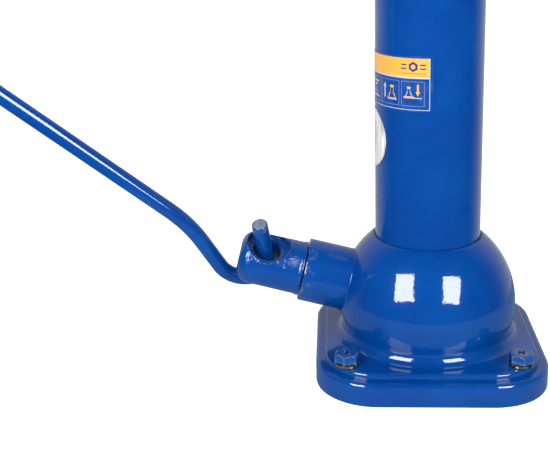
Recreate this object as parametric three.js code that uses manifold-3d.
// Mechanical bottle jack. A cranked shaft with a bevel pinion turns a bevel gear in a
// domed housing. The gear turns a vertical lifting screw, and the screw's nut raises a
// guided tube with a swivelling saddle inside the column.
//
// Units are millimetres. +Z is up, and the origin is the centre of the base's underside.
// The crank shaft leaves the housing towards -X and slopes up from the gears' apex.

import * as THREE from "three";
import { mergeVertices } from "three/addons/utils/BufferGeometryUtils.js";
import Module from "manifold-3d";

const wasm = await Module();
wasm.setup();

// ---------------------------------------------------------------- driving dimensions

const RUNNING_GAP = 0.3; // round a piece that turns or slides
const SEATED_GAP = 0.15; // round a piece that is pressed, welded or bolted in
const OVERSHOOT = 1; // how far a cutting tool runs past the face that it cuts

const base = { side: 138, corner: 36, height: 14, edge: 2.5 };
const flange = { inset: 5.5, height: 4, edge: 1.6 };
const dome = { centre: 39, radius: 54, wall: 6, fillet: 6, mouth: 33.2, shoulder: 3.3 };
const column = { radius: 32, bore: 27.5, foot: 74, top: 238 };
const cap = { radius: 35, low: 231, top: 242, chamfer: 1.4 };
const sleeve = { radius: 19.5, bore: 13.15, inner: 46, end: 79, chamfer: 0.6 };
const crankTilt = 14; // degrees above the horizontal
const eyeLean = 24; // degrees that the eye's bore leans towards -Y
const eye = { distance: 103.75, bore: 8.25, halfThickness: 9.5, spotface: 14.5 };
const knuckle = { radius: 16.5, collar: 17, start: 80.2, end: 120.2, round: 6 };
const shaft = { seat: 9, journal: 11, inner: 18.6, shoulder: 43.15 };

const fixing = { offset: 50.5, bore: 4.4, shank: 3.9, tip: 5.5, acrossFlats: 13, head: 5.5 };
const thrustWasher = { outer: 17.3 };
const lockWasher = { inner: 4.2, outer: 7.3, thickness: 2, split: 1.2 };
const bearing = { low: 8.15, high: 18.2, inner: 10.3, outer: 20.3, pitch: 15, ball: 2.6, count: 12 };
const screw = { radius: 13, journal: 9.8, pilot: 7.6, foot: 5.2, step: 9.4, shoulder: 31, top: 214 };
const screwEnd = { radius: 8, groove: 7.2, grooveLow: 217.6, grooveHigh: 219.4, top: 221.5 };
const tube = { radius: 25, bore: 20, low: 68.2, high: 246 };
const nut = { low: 64, seat: 68, high: 98 };
const guide = { height: 206, halfWidth: 3.15, depth: 2.2, screw: 4, point: 2.8, socket: 4 };
const saddle = { radius: 25, low: 251.3, top: 266, well: 14, floor: 258.2, spigot: 9 };
const liftTravel = 114;

// Straight bevel pair. The pinion's teeth are shifted outwards and the gear's inwards.
const bevel = { module: 2.5, pressure: 20, face: 9, shift: 0.3, backlash: 0.3 };
const pinionTeeth = 12;
const gearTeeth = 24;
const shaftAngle = 90 + crankTilt;

const flangeTop = base.height + flange.height;
const flangeSide = base.side - 2 * flange.inset;
const apex = dome.centre;

// ---------------------------------------------------------------- materials

const finish = (color, roughness, metalness) =>
  new THREE.MeshStandardMaterial({ color, roughness, metalness });

const bluePaint = finish(0x0a4aa8, 0.25, 0.1);
const brightSteel = finish(0xb9bcc0, 0.3, 0.9);
const darkSteel = finish(0x5a5d61, 0.45, 0.85);
const yellowZinc = finish(0xa89a5c, 0.35, 0.85);
const bronze = finish(0xb08850, 0.4, 0.85);
const brass = finish(0xc2a24e, 0.35, 0.85);
const felt = finish(0x2c2c2e, 0.9, 0);
const printedFilm = finish(0x1a58b4, 0.35, 0);
const silverFoil = finish(0xd6d6da, 0.35, 0.5);

// ---------------------------------------------------------------- solids and booleans

const radians = THREE.MathUtils.degToRad;

// A closed geometry as a manifold solid, with its shared vertices merged.
function solidOf(geometry) {
  const bare = geometry.clone();
  bare.deleteAttribute("normal");
  bare.deleteAttribute("uv");
  const merged = mergeVertices(bare, 1e-4);
  const corners = merged.index.array;
  const triangles = [];
  for (let i = 0; i < corners.length; i += 3) {
    const [a, b, c] = corners.slice(i, i + 3);
    if (a !== b && b !== c && c !== a) triangles.push(a, b, c);
  }
  return new wasm.Manifold(
    new wasm.Mesh({
      numProp: 3,
      vertProperties: merged.attributes.position.array,
      triVerts: new Uint32Array(triangles),
    }),
  );
}

function geometryOf(solid) {
  const { vertProperties, triVerts } = solid.getMesh();
  const indexed = new THREE.BufferGeometry();
  indexed.setAttribute("position", new THREE.BufferAttribute(vertProperties, 3));
  indexed.setIndex(new THREE.BufferAttribute(triVerts, 1));
  const faceted = indexed.toNonIndexed();
  faceted.computeVertexNormals();
  return faceted;
}

const join = (...parts) => geometryOf(parts.map(solidOf).reduce((all, part) => all.add(part)));

const cut = (body, ...tools) =>
  geometryOf(tools.map(solidOf).reduce((rest, tool) => rest.subtract(tool), solidOf(body)));

const common = (one, other) => geometryOf(solidOf(one).intersect(solidOf(other)));

// Points of an arc in a turned profile, [radius, height], both ends included.
function arc(centreRadius, centreHeight, radius, from, to, steps) {
  return Array.from({ length: steps + 1 }, (_, i) => {
    const angle = radians(from + ((to - from) * i) / steps);
    return [centreRadius + radius * Math.cos(angle), centreHeight + radius * Math.sin(angle)];
  });
}

// A profile turned about Z. It runs anticlockwise: out along the bottom and up outside.
function turned(profile, segments = 32) {
  const points = profile.map(([radius, height]) => new THREE.Vector2(radius, height));
  return new THREE.LatheGeometry(points, segments).rotateX(Math.PI / 2);
}

const bar = (radius, low, high, segments = 32) =>
  turned([[0, low], [radius, low], [radius, high], [0, high]], segments);

const ring = (inner, outer, low, high, segments = 32) =>
  turned([[inner, low], [outer, low], [outer, high], [inner, high], [inner, low]], segments);

const box = (width, depth, height, x, y, z) =>
  new THREE.BoxGeometry(width, depth, height).translate(x, y, z);

// A round bar along Y, from one place to another.
const crossBar = (radius, from, to, height, segments = 16) =>
  bar(radius, from, to, segments).rotateX(-Math.PI / 2).translate(0, 0, height);

function roundedSquare(side, corner) {
  const reach = side / 2 - corner;
  const shape = new THREE.Shape();
  for (let quarter = 0; quarter < 4; quarter += 1) {
    const start = (quarter * Math.PI) / 2;
    const x = reach * (quarter === 0 || quarter === 3 ? 1 : -1);
    const y = reach * (quarter < 2 ? 1 : -1);
    shape.absarc(x, y, corner, start, start + Math.PI / 2, false);
  }
  return shape;
}

// A square slab with round corners, a sharp lower edge and a rounded upper edge.
function slab(side, corner, low, high, edge) {
  const height = high - low;
  const mirrored = new THREE.ExtrudeGeometry(roundedSquare(side - 2 * edge, corner - edge), {
    depth: 2 * (height - edge),
    bevelSize: edge,
    bevelThickness: edge,
    bevelSegments: 2,
    curveSegments: 4,
  }).translate(0, 0, low - height + edge);
  return common(mirrored, box(2 * side, 2 * side, height + 1, 0, 0, low + (height + 1) / 2));
}

// An upright hexagonal bar with a corner on +X.
function hexagon(acrossFlats, low, high) {
  const radius = acrossFlats / Math.sqrt(3);
  return new THREE.CylinderGeometry(radius, radius, high - low, 6)
    .rotateX(Math.PI / 2)
    .rotateZ(Math.PI / 6)
    .translate(0, 0, (low + high) / 2);
}

const fixingPlaces = [[1, -1], [1, 1], [-1, 1], [-1, -1]].map(([x, y]) => [
  x * fixing.offset,
  y * fixing.offset,
]);

// ---------------------------------------------------------------- scene graph

const jack = new THREE.Group();

// The crank's frame: origin at the gears' apex, +Z out along the shaft, +X upwards.
const crankLine = new THREE.Group();
crankLine.position.z = apex;
crankLine.rotation.y = radians(crankTilt - 90);
jack.add(crankLine);

// The eye's frame: the crank's frame turned until +X runs along the eye's bore.
const eyeLine = new THREE.Group();
eyeLine.rotation.z = radians(-eyeLean);
crankLine.add(eyeLine);

function add(parent, name, geometry, material) {
  const mesh = new THREE.Mesh(geometry, material);
  mesh.name = name;
  parent.add(mesh);
  return mesh;
}

// The same turn and shift as the crank's frame, for tools that cut the housing.
const inCrankLine = (geometry) =>
  geometry.rotateY(crankLine.rotation.y).translate(0, 0, apex);

// ---------------------------------------------------------------- base and housing

function basePlate() {
  const high = base.height + OVERSHOOT;
  const holes = fixingPlaces.map(([x, y]) =>
    bar(fixing.shank + SEATED_GAP, fixing.tip - 1, high, 20).translate(x, y, 0),
  );
  return cut(
    slab(base.side, base.corner, 0, base.height, base.edge),
    bar(bearing.outer + SEATED_GAP, bearing.low - SEATED_GAP, high),
    bar(screw.pilot + RUNNING_GAP, screw.foot - 0.5, high),
    ...holes,
  );
}

// The casting's outside: a fillet rises from the flange and runs into the round dome.
function domeOutside() {
  const filletHeight = flangeTop + dome.fillet;
  const drop = apex - filletHeight;
  const filletRadius = Math.sqrt((dome.radius + dome.fillet) ** 2 - drop ** 2);
  const tangent = THREE.MathUtils.radToDeg(Math.atan2(drop, filletRadius));
  const mouthAngle = THREE.MathUtils.radToDeg(Math.acos(dome.mouth / dome.radius));
  return turned([
    [0, base.height + 1],
    [filletRadius, base.height + 1],
    ...arc(filletRadius, filletHeight, dome.fillet, 270, 180 - tangent, 5),
    ...arc(0, apex, dome.radius, -tangent, mouthAngle, 9).slice(1),
    [0, apex + dome.radius * Math.sin(radians(mouthAngle))],
  ]);
}

// The gear chamber, with a shoulder above it that carries the column's foot.
function chamber() {
  const inside = dome.radius - dome.wall;
  const skirt = inside - 2.5;
  const roof = column.foot - dome.shoulder;
  const low = base.height - OVERSHOOT;
  const high = column.foot + 20;
  const skirtAngle = THREE.MathUtils.radToDeg(-Math.acos(skirt / inside));
  const roofAngle = THREE.MathUtils.radToDeg(Math.asin((roof - apex) / inside));
  return turned([
    [0, low],
    [skirt, low],
    ...arc(0, apex, inside, skirtAngle, roofAngle, 7),
    [column.bore + RUNNING_GAP, roof],
    [column.bore + RUNNING_GAP, column.foot],
    [column.radius + SEATED_GAP, column.foot],
    [column.radius + SEATED_GAP, high],
    [0, high],
  ]);
}

function gearHousing() {
  const insideDome = sleeve.inner - 6;
  const outside = join(
    slab(flangeSide, base.corner - flange.inset, base.height + SEATED_GAP, flangeTop, flange.edge),
    domeOutside(),
    inCrankLine(
      turned([
        [0, insideDome],
        [sleeve.radius, insideDome],
        [sleeve.radius, sleeve.end - sleeve.chamfer],
        [sleeve.radius - sleeve.chamfer, sleeve.end],
        [0, sleeve.end],
      ]),
    ),
  );
  const washerRecess = bar(thrustWasher.outer + RUNNING_GAP, insideDome - 5, sleeve.inner);
  return cut(
    outside,
    chamber(),
    inCrankLine(bar(sleeve.bore, insideDome - 5, sleeve.end + OVERSHOOT)),
    inCrankLine(washerRecess),
    ...fixingPlaces.map(([x, y]) =>
      bar(fixing.bore, base.height - OVERSHOOT, flangeTop + dome.fillet, 20).translate(x, y, 0),
    ),
  );
}

// A screw with a hexagon head, cross-slotted on top and chamfered at its corners.
function baseScrew() {
  const underHead = flangeTop + lockWasher.thickness + 2 * SEATED_GAP;
  const headTop = underHead + fixing.head;
  const slot = { length: 5.6, width: 1.4, depth: 2.4 };
  const corner = fixing.acrossFlats / Math.sqrt(3) + 0.5;
  const chamfered = turned(
    [
      [0, underHead],
      [corner, underHead],
      [corner, headTop - 0.9],
      [corner - 2.2, headTop],
      [0, headTop],
    ],
    24,
  );
  return cut(
    join(
      common(hexagon(fixing.acrossFlats, underHead, headTop), chamfered),
      bar(fixing.shank, fixing.tip, underHead + 1, 20),
    ),
    box(slot.length, slot.width, slot.depth, 0, 0, headTop),
    box(slot.width, slot.length, slot.depth, 0, 0, headTop),
  );
}

// A split ring under each screw's head.
function springWasher() {
  const { inner, outer, thickness, split } = lockWasher;
  const low = flangeTop + SEATED_GAP;
  return cut(
    ring(inner, outer, low, low + thickness, 24),
    box(split, outer + OVERSHOOT, 3 * thickness, 0, -(outer + OVERSHOOT) / 2, low),
  );
}

add(jack, "base_plate", basePlate(), bluePaint);
add(jack, "gear_housing", gearHousing(), bluePaint);
fixingPlaces.forEach(([x, y], i) => {
  const place = new THREE.Group();
  place.position.set(x, y, 0);
  place.rotation.z = radians(34 + 74 * i);
  jack.add(place);
  add(place, `base_screw_${i + 1}`, baseScrew(), bluePaint);
  add(place, `spring_washer_${i + 1}`, springWasher(), yellowZinc);
});

// ---------------------------------------------------------------- column

function columnTube() {
  const { radius, bore, foot, top } = column;
  const guideHole = crossBar(guide.screw + SEATED_GAP, tube.radius, radius + 5, guide.height);
  return cut(ring(bore, radius, foot + SEATED_GAP, top), guideHole);
}

// A turned cap over the column's end, with a lip over the wiper.
function columnCap() {
  const inner = tube.radius + 0.4;
  const skirt = column.radius + SEATED_GAP;
  const seat = column.top + SEATED_GAP;
  return turned([
    [skirt, cap.low],
    [cap.radius, cap.low],
    [cap.radius, cap.top - cap.chamfer],
    [cap.radius - cap.chamfer, cap.top],
    [inner, cap.top],
    [inner, seat],
    [skirt, seat],
    [skirt, cap.low],
  ]);
}

// The screw that keeps the lifting tube from turning: its dog point runs in a keyway.
function guideScrew() {
  const inner = column.bore + 0.2;
  const outer = column.radius - 0.3;
  const pointEnd = tube.radius - guide.depth + 0.4;
  const socketFloor = outer - 2.4;
  return cut(
    join(
      crossBar(guide.screw, inner, outer, guide.height),
      crossBar(guide.point, pointEnd, inner + 1, guide.height),
    ),
    hexagon(guide.socket, socketFloor, outer + OVERSHOOT)
      .rotateX(-Math.PI / 2)
      .translate(0, 0, guide.height),
  );
}

// A ring that lines the column's bore and clears the lifting tube.
const lining = (low, high) => ring(tube.radius + 0.25, column.bore - SEATED_GAP, low, high);

const wiperFoot = column.top - 2.8;
add(jack, "column_tube", columnTube(), bluePaint);
add(jack, "guide_bush", lining(wiperFoot - 23.2, wiperFoot - 0.2), bronze);
add(jack, "wiper_ring", lining(wiperFoot, column.top), felt);
add(jack, "column_cap", columnCap(), bluePaint);
add(jack, "guide_screw", guideScrew(), darkSteel);

// A thin curved sheet on the column between two angles, measured from +X.
function sheetOnColumn(fromAngle, toAngle, low, high) {
  const inner = column.radius + 0.1;
  const outer = column.radius + 0.4;
  const shape = new THREE.Shape();
  shape.absarc(0, 0, outer, radians(fromAngle), radians(toAngle), false);
  shape.absarc(0, 0, inner, radians(toAngle), radians(fromAngle), true);
  return new THREE.ExtrudeGeometry(shape, {
    depth: high - low,
    bevelEnabled: false,
    curveSegments: 8,
  }).translate(0, 0, low);
}

const label = { from: 173, to: 269, low: 164.5, high: 196.5 };
const sticker = { angle: 183, height: 144, radius: 18 };

// A disc punched out of a curved sheet, square to the column's side.
function roundSticker() {
  const { angle, height, radius } = sticker;
  const spread = 38;
  const low = height - radius - OVERSHOOT;
  const sheet = sheetOnColumn(angle - spread, angle + spread, low, height + radius + OVERSHOOT);
  const punch = crossBar(radius, -column.radius - 5, -10, height, 32);
  return common(sheet, punch.rotateZ(radians(angle - 270)));
}

add(
  jack,
  "instruction_label",
  sheetOnColumn(label.from, label.to, label.low, label.high),
  printedFilm,
);
add(jack, "inspection_sticker", roundSticker(), silverFoil);

// ---------------------------------------------------------------- bevel pair

const sum = radians(shaftAngle);
const pinionCone = Math.atan2(Math.sin(sum), gearTeeth / pinionTeeth + Math.cos(sum));
const gearCone = sum - pinionCone;
const coneDistance = (bevel.module * pinionTeeth) / 2 / Math.sin(pinionCone);

// The toothed part of a straight bevel gear, from Tredgold's equivalent spur gear on the
// back cone. The apex is at the origin, the large end is further out along +Z, and the
// first tooth is centred on +X, or the first gap if gapFirst is true.
function bevelTeeth(teeth, cone, shift, gapFirst) {
  const { module, face, backlash } = bevel;
  const alpha = radians(bevel.pressure);
  const involute = (angle) => Math.tan(angle) - angle;
  const pitchRadius = (module * teeth) / 2;
  const pitchHeight = coneDistance * Math.cos(cone);
  const spurPitch = pitchRadius / Math.cos(cone);
  const spurBase = spurPitch * Math.cos(alpha);
  const spurRoot = spurPitch - (1.25 - shift) * module;
  const spurTip = spurPitch + (1 + shift) * module;
  const thickness = module * (Math.PI / 2 + 2 * shift * Math.tan(alpha)) - backlash / 2;

  // Half the tooth's angle round the gear at a radius of the equivalent spur gear.
  function halfAngle(radius) {
    const angle = Math.acos(Math.min(1, spurBase / radius));
    const half = thickness / 2 / spurPitch + involute(alpha) - involute(angle);
    return half / Math.cos(cone);
  }
  // A radius on the developed back cone, as the real radius about the gear's axis.
  const realRadius = (radius) => pitchRadius + (radius - spurPitch) * Math.cos(cone);

  const flankFoot = Math.max(spurBase, spurRoot);
  const flank = Array.from({ length: 3 }, (_, i) => flankFoot + ((spurTip - flankFoot) * i) / 2);
  const outline = [];
  for (let tooth = 0; tooth < teeth; tooth += 1) {
    const middle = ((tooth + (gapFirst ? 0.5 : 0)) * 2 * Math.PI) / teeth;
    const corner = (radius, angle) =>
      outline.push(
        new THREE.Vector2(
          realRadius(radius) * Math.cos(middle + angle),
          realRadius(radius) * Math.sin(middle + angle),
        ),
      );
    if (spurRoot < flankFoot) corner(spurRoot, -halfAngle(flankFoot));
    flank.forEach((radius) => corner(radius, -halfAngle(radius)));
    [...flank].reverse().forEach((radius) => corner(radius, halfAngle(radius)));
    if (spurRoot < flankFoot) corner(spurRoot, halfAngle(flankFoot));
  }

  const solid = new THREE.ExtrudeGeometry(new THREE.Shape(outline), {
    depth: 1,
    bevelEnabled: false,
  });
  const place = solid.attributes.position;
  for (let i = 0; i < place.count; i += 1) {
    const x = place.getX(i);
    const y = place.getY(i);
    const scale = 1 - (face / coneDistance) * (1 - place.getZ(i));
    const height = pitchHeight - (Math.hypot(x, y) - pitchRadius) * Math.tan(cone);
    place.setXYZ(i, x * scale, y * scale, height * scale);
  }
  return solid;
}

const pinionHub = { radius: 12.5, low: 27, high: 43 };
const crossPin = { radius: 2.4, reach: 12.2, distance: 37 };
const pinHole = () => crossBar(crossPin.radius + SEATED_GAP, -20, 20, crossPin.distance);

function bevelPinion() {
  const { radius, low, high } = pinionHub;
  return cut(
    join(bevelTeeth(pinionTeeth, pinionCone, bevel.shift, true), bar(radius, low, high)),
    bar(shaft.seat + SEATED_GAP, 10, high + OVERSHOOT),
    pinHole(),
  );
}

const key = { width: 5.6, depth: 5.4, length: 8.8, radius: 10.1, height: 24.2 };
const keyway = (length) =>
  box(key.width + 0.3, key.depth + 0.6, length, 0, key.radius, key.height);

function bevelGear() {
  const back = bearing.high + SEATED_GAP;
  const rim = 29.3;
  const rootLedge = apex - 11.45;
  const blank = turned([
    [0, back],
    [22, back],
    [24, back + 2],
    [rim, back + 4],
    [rim, rootLedge],
    [0, rootLedge],
  ]);
  const teeth = bevelTeeth(gearTeeth, gearCone, -bevel.shift, false)
    .rotateX(Math.PI)
    .translate(0, 0, apex);
  return cut(join(teeth, blank), bar(screw.journal + SEATED_GAP, 10, 50), keyway(40));
}

// ---------------------------------------------------------------- crank shaft

function shaftBlank() {
  const { radius, collar, start, end, round } = knuckle;
  return turned([
    [0, shaft.inner],
    [shaft.seat, shaft.inner],
    [shaft.seat, shaft.shoulder],
    [shaft.journal, shaft.shoulder],
    [shaft.journal, start],
    [collar, start],
    [collar, start + 2],
    [radius, start + 2.8],
    ...arc(radius - round, end - round, round, 0, 90, 4),
    [0, end],
  ]);
}

// A tool for one flat: a spotface round the bore that runs out over the shaft's end.
function spotface(side) {
  const outline = new THREE.Shape();
  outline.absarc(0, 0, eye.spotface, Math.PI, 2 * Math.PI, false);
  outline.lineTo(eye.spotface, 2 * eye.spotface);
  outline.lineTo(-eye.spotface, 2 * eye.spotface);
  return new THREE.ExtrudeGeometry(outline, { depth: 20, bevelEnabled: false, curveSegments: 8 })
    .translate(0, 0, eye.halfThickness)
    .rotateY(side > 0 ? 0 : Math.PI)
    .rotateX(Math.PI / 2)
    .rotateZ(Math.PI / 2)
    .translate(0, 0, eye.distance);
}

// A tool for the eye's bore, with a chamfer of 45 degrees at each mouth.
function eyeBore() {
  const flare = 6.5;
  const end = eye.halfThickness - 1 + flare;
  return turned([
    [0, -end],
    [eye.bore + flare, -end],
    [eye.bore, flare - end],
    [eye.bore, end - flare],
    [eye.bore + flare, end],
    [0, end],
  ])
    .rotateY(Math.PI / 2)
    .translate(0, 0, eye.distance);
}

const inputShaft = () =>
  cut(shaftBlank(), spotface(1), spotface(-1), eyeBore(), pinHole().rotateZ(radians(eyeLean)));

const pinionPin = () =>
  crossBar(crossPin.radius, -crossPin.reach, crossPin.reach, crossPin.distance);

const thrustFace = { low: shaft.shoulder + SEATED_GAP, high: sleeve.inner - RUNNING_GAP };
const shaftBore = shaft.journal + RUNNING_GAP;

add(eyeLine, "input_shaft", inputShaft(), bluePaint);
add(crankLine, "bevel_pinion", bevelPinion(), darkSteel);
add(crankLine, "pinion_pin", pinionPin(), brightSteel);
add(
  crankLine,
  "shaft_bush",
  ring(shaftBore, sleeve.bore - SEATED_GAP, sleeve.inner, sleeve.end - 1),
  bronze,
);
add(
  crankLine,
  "shaft_thrust_washer",
  ring(shaftBore, thrustWasher.outer, thrustFace.low, thrustFace.high),
  brass,
);

// ---------------------------------------------------------------- crank handle

// A bent rod's centreline, made of straights and arcs and sampled at its knots.
class RodPath extends THREE.Curve {
  constructor(x, z, heading) {
    super();
    this.at = new THREE.Vector2(x, z);
    this.heading = heading;
    this.knots = [this.at.clone()];
  }
  step(length) {
    const angle = radians(this.heading);
    this.at.x += length * Math.cos(angle);
    this.at.y += length * Math.sin(angle);
  }
  line(length) {
    this.step(length);
    this.knots.push(this.at.clone());
    return this;
  }
  bend(radius, turn) {
    const steps = Math.max(3, Math.round(Math.abs(turn) / 13));
    const chord = 2 * radius * Math.sin(radians(Math.abs(turn) / steps / 2));
    for (let i = 0; i < steps; i += 1) {
      this.heading += turn / steps / 2;
      this.step(chord);
      this.heading += turn / steps / 2;
      this.knots.push(this.at.clone());
    }
    return this;
  }
  getPoint(t) {
    const place = Math.min(Math.max(t, 0), 1) * (this.knots.length - 1);
    const index = Math.min(Math.floor(place), this.knots.length - 2);
    const { x, y } = this.knots[index].clone().lerp(this.knots[index + 1], place - index);
    return new THREE.Vector3(y, 0, x);
  }
  getUtoTmapping(u) {
    return u;
  }
}

// The rod comes down through the eye, hooks round under the knuckle and rises along the
// shank to the throw and the grip. Distances run out along the shaft and up the bore.
const rod = { radius: 5, corner: 20 };
const rodTip = { lean: 19, length: 24.5, bend: 30 };
const rodHook = { bend: 15.7, rise: 51, length: 22.5 };
const rodShank = { bend: 80, rise: 29, length: 141 };
const rodThrow = 40;
const rodGrip = 80;
const rodInEye = { out: -1.1, up: -4 };

function crankHandle() {
  const lean = radians(rodTip.lean);
  const tip = [
    rodInEye.out + rodTip.bend * (1 - Math.cos(lean)) + rodTip.length * Math.sin(lean),
    rodInEye.up + rodTip.bend * Math.sin(lean) + rodTip.length * Math.cos(lean),
  ];
  const path = new RodPath(...tip, 270 - rodTip.lean)
    .line(rodTip.length)
    .bend(rodTip.bend, rodTip.lean)
    .bend(rodHook.bend, 90 + rodHook.rise)
    .line(rodHook.length)
    .bend(rodShank.bend, rodShank.rise - rodHook.rise)
    .line(rodShank.length)
    .bend(rod.corner, -90)
    .line(rodThrow)
    .bend(rod.corner, 90)
    .line(rodGrip);
  const section = new THREE.Shape().absarc(0, 0, rod.radius, 0, 2 * Math.PI, false);
  return new THREE.ExtrudeGeometry(section, {
    steps: path.knots.length - 1,
    curveSegments: 6,
    extrudePath: path,
  }).translate(0, 0, eye.distance);
}

add(eyeLine, "crank_handle", crankHandle(), bluePaint);

// ---------------------------------------------------------------- lifting screw

function liftingScrew() {
  const { radius, groove, grooveLow, grooveHigh, top } = screwEnd;
  const blank = turned([
    [0, screw.foot],
    [screw.pilot, screw.foot],
    [screw.pilot, screw.step],
    [screw.journal, screw.step],
    [screw.journal, screw.shoulder],
    [screw.radius, screw.shoulder],
    [screw.radius, screw.top],
    [radius, screw.top],
    [radius, grooveLow],
    [groove, grooveLow],
    [groove, grooveHigh],
    [radius, grooveHigh],
    [radius, top],
    [0, top],
  ]);
  return cut(blank, keyway(key.length + 2.8));
}

// A round retaining ring with its gap towards -Y.
function retainingRing(inner, outer, low, high) {
  const gap = 3;
  const middle = (low + high) / 2;
  return cut(ring(inner, outer, low, high, 24), box(gap, outer, outer, 0, -inner - 1, middle));
}

const stopWasher = { radius: 18, low: screw.top + 0.2, high: screwEnd.grooveLow - 0.2 };

add(jack, "lifting_screw", liftingScrew(), brightSteel);
add(jack, "bevel_gear", bevelGear(), darkSteel);
add(
  jack,
  "gear_key",
  box(key.width, key.depth, key.length, 0, key.radius, key.height),
  brightSteel,
);
add(
  jack,
  "stop_washer",
  ring(screwEnd.radius + SEATED_GAP, stopWasher.radius, stopWasher.low, stopWasher.high),
  darkSteel,
);
add(
  jack,
  "stop_ring",
  retainingRing(
    screwEnd.groove + 0.2,
    10.5,
    screwEnd.grooveLow + SEATED_GAP,
    screwEnd.grooveHigh - SEATED_GAP,
  ),
  darkSteel,
);

// ---------------------------------------------------------------- thrust bearing

// Both races have a groove that follows the balls with a little clearance.
function bearingRaces() {
  const middle = (bearing.low + bearing.high) / 2 + 0.125;
  const groove = bearing.ball + 0.2;
  const face = 1.9;
  const reach = THREE.MathUtils.radToDeg(Math.asin(face / groove));
  const lower = turned([
    [bearing.inner, bearing.low],
    [bearing.outer, bearing.low],
    [bearing.outer, middle - face],
    ...arc(bearing.pitch, middle, groove, -reach, reach - 180, 4),
    [bearing.inner, middle - face],
    [bearing.inner, bearing.low],
  ]);
  const upper = turned([
    [screw.journal + SEATED_GAP, middle + face],
    ...arc(bearing.pitch, middle, groove, 180 - reach, reach, 4),
    [bearing.outer - 0.4, middle + face],
    [bearing.outer - 0.4, bearing.high],
    [screw.journal + SEATED_GAP, bearing.high],
    [screw.journal + SEATED_GAP, middle + face],
  ]);
  return { lower, upper, middle };
}

const races = bearingRaces();
add(jack, "bearing_lower_race", races.lower, brightSteel);
add(jack, "bearing_upper_race", races.upper, brightSteel);

const ballPlaces = Array.from({ length: bearing.count }, (_, i) => {
  const angle = (2 * Math.PI * i) / bearing.count;
  return [bearing.pitch * Math.cos(angle), bearing.pitch * Math.sin(angle)];
});
add(
  jack,
  "ball_cage",
  cut(
    ring(bearing.pitch - 3.4, bearing.pitch + 3.4, races.middle - 0.8, races.middle + 0.8, 24),
    ...ballPlaces.map(([x, y]) =>
      bar(bearing.ball + 0.2, bearing.low, bearing.high, 10).translate(x, y, 0),
    ),
  ),
  brass,
);
ballPlaces.forEach(([x, y], i) => {
  const ball = add(
    jack,
    `bearing_ball_${i + 1}`,
    new THREE.SphereGeometry(bearing.ball, 8, 5),
    brightSteel,
  );
  ball.position.set(x, y, races.middle);
});

// ---------------------------------------------------------------- lifting tube and saddle

const nutPin = { radius: 2.5, inner: 14, outer: 24.6, height: 83 };
const plugPin = { radius: 2.5, outer: 24.6, height: 236 };

function liftingTube() {
  const endRoom = 4;
  const slotDepth = 10;
  return cut(
    ring(tube.bore, tube.radius, tube.low, tube.high),
    box(
      2 * guide.halfWidth,
      slotDepth,
      liftTravel + 2 * endRoom,
      0,
      tube.radius - guide.depth + slotDepth / 2,
      guide.height - liftTravel / 2,
    ),
    crossBar(nutPin.radius + SEATED_GAP, -30, 30, nutPin.height),
    crossBar(plugPin.radius + SEATED_GAP, -30, 30, plugPin.height),
  );
}

function liftNut() {
  const inner = screw.radius + RUNNING_GAP;
  const body = turned([
    [inner, nut.low],
    [tube.radius - 0.5, nut.low],
    [tube.radius - 0.5, nut.seat],
    [tube.bore - SEATED_GAP, nut.seat],
    [tube.bore - SEATED_GAP, nut.high],
    [inner, nut.high],
    [inner, nut.low],
  ]);
  return cut(body, crossBar(nutPin.radius + SEATED_GAP, -30, 30, nutPin.height));
}

// The plug closes the lifting tube, and its spigot carries the saddle.
const plug = { foot: 226, flange: 26, shoulder: 251, top: 263.5 };
const snapGroove = { radius: 8.2, low: 258.4, high: 260.3 };

function headPlug() {
  const fit = tube.bore - SEATED_GAP;
  const seat = tube.high + 0.2;
  const { spigot } = saddle;
  const body = turned([
    [0, plug.foot],
    [fit, plug.foot],
    [fit, seat],
    [plug.flange, seat],
    [plug.flange, plug.shoulder],
    [spigot, plug.shoulder],
    [spigot, snapGroove.low],
    [snapGroove.radius, snapGroove.low],
    [snapGroove.radius, snapGroove.high],
    [spigot, snapGroove.high],
    [spigot, plug.top - 0.6],
    [spigot - 0.6, plug.top],
    [0, plug.top],
  ]);
  return cut(body, crossBar(plugPin.radius + SEATED_GAP, -30, 30, plugPin.height));
}

// The saddle's face is crossed by radial grooves that grip the load.
function liftingSaddle() {
  const body = turned([
    [saddle.spigot + RUNNING_GAP, saddle.low],
    [saddle.radius - 1, saddle.low],
    [saddle.radius, saddle.low + 1],
    [saddle.radius, saddle.top - 1.2],
    [saddle.radius - 1.2, saddle.top],
    [saddle.well, saddle.top],
    [saddle.well, saddle.floor],
    [saddle.spigot + RUNNING_GAP, saddle.floor],
    [saddle.spigot + RUNNING_GAP, saddle.low],
  ]);
  const groove = { count: 8, length: 20, width: 2.4, depth: 1.5 };
  const grooves = Array.from({ length: groove.count }, (_, i) =>
    box(groove.length, groove.width, 2 * groove.depth, 22, 0, saddle.top).rotateZ(
      (2 * Math.PI * i) / groove.count,
    ),
  );
  return cut(body, ...grooves);
}

add(jack, "lifting_tube", liftingTube(), brightSteel);
add(jack, "lift_nut", liftNut(), bronze);
[0, Math.PI].forEach((turn, i) => {
  const pin = crossBar(nutPin.radius, nutPin.inner, nutPin.outer, nutPin.height);
  add(jack, `nut_pin_${i + 1}`, pin.rotateZ(turn), darkSteel);
});
add(jack, "head_plug", headPlug(), darkSteel);
add(
  jack,
  "plug_pin",
  crossBar(plugPin.radius, -plugPin.outer, plugPin.outer, plugPin.height),
  darkSteel,
);
add(
  jack,
  "saddle_snap_ring",
  retainingRing(
    snapGroove.radius + SEATED_GAP,
    11,
    snapGroove.low + 0.2,
    snapGroove.high - 0.2,
  ),
  darkSteel,
);
add(jack, "saddle", liftingSaddle(), darkSteel);

export default jack;
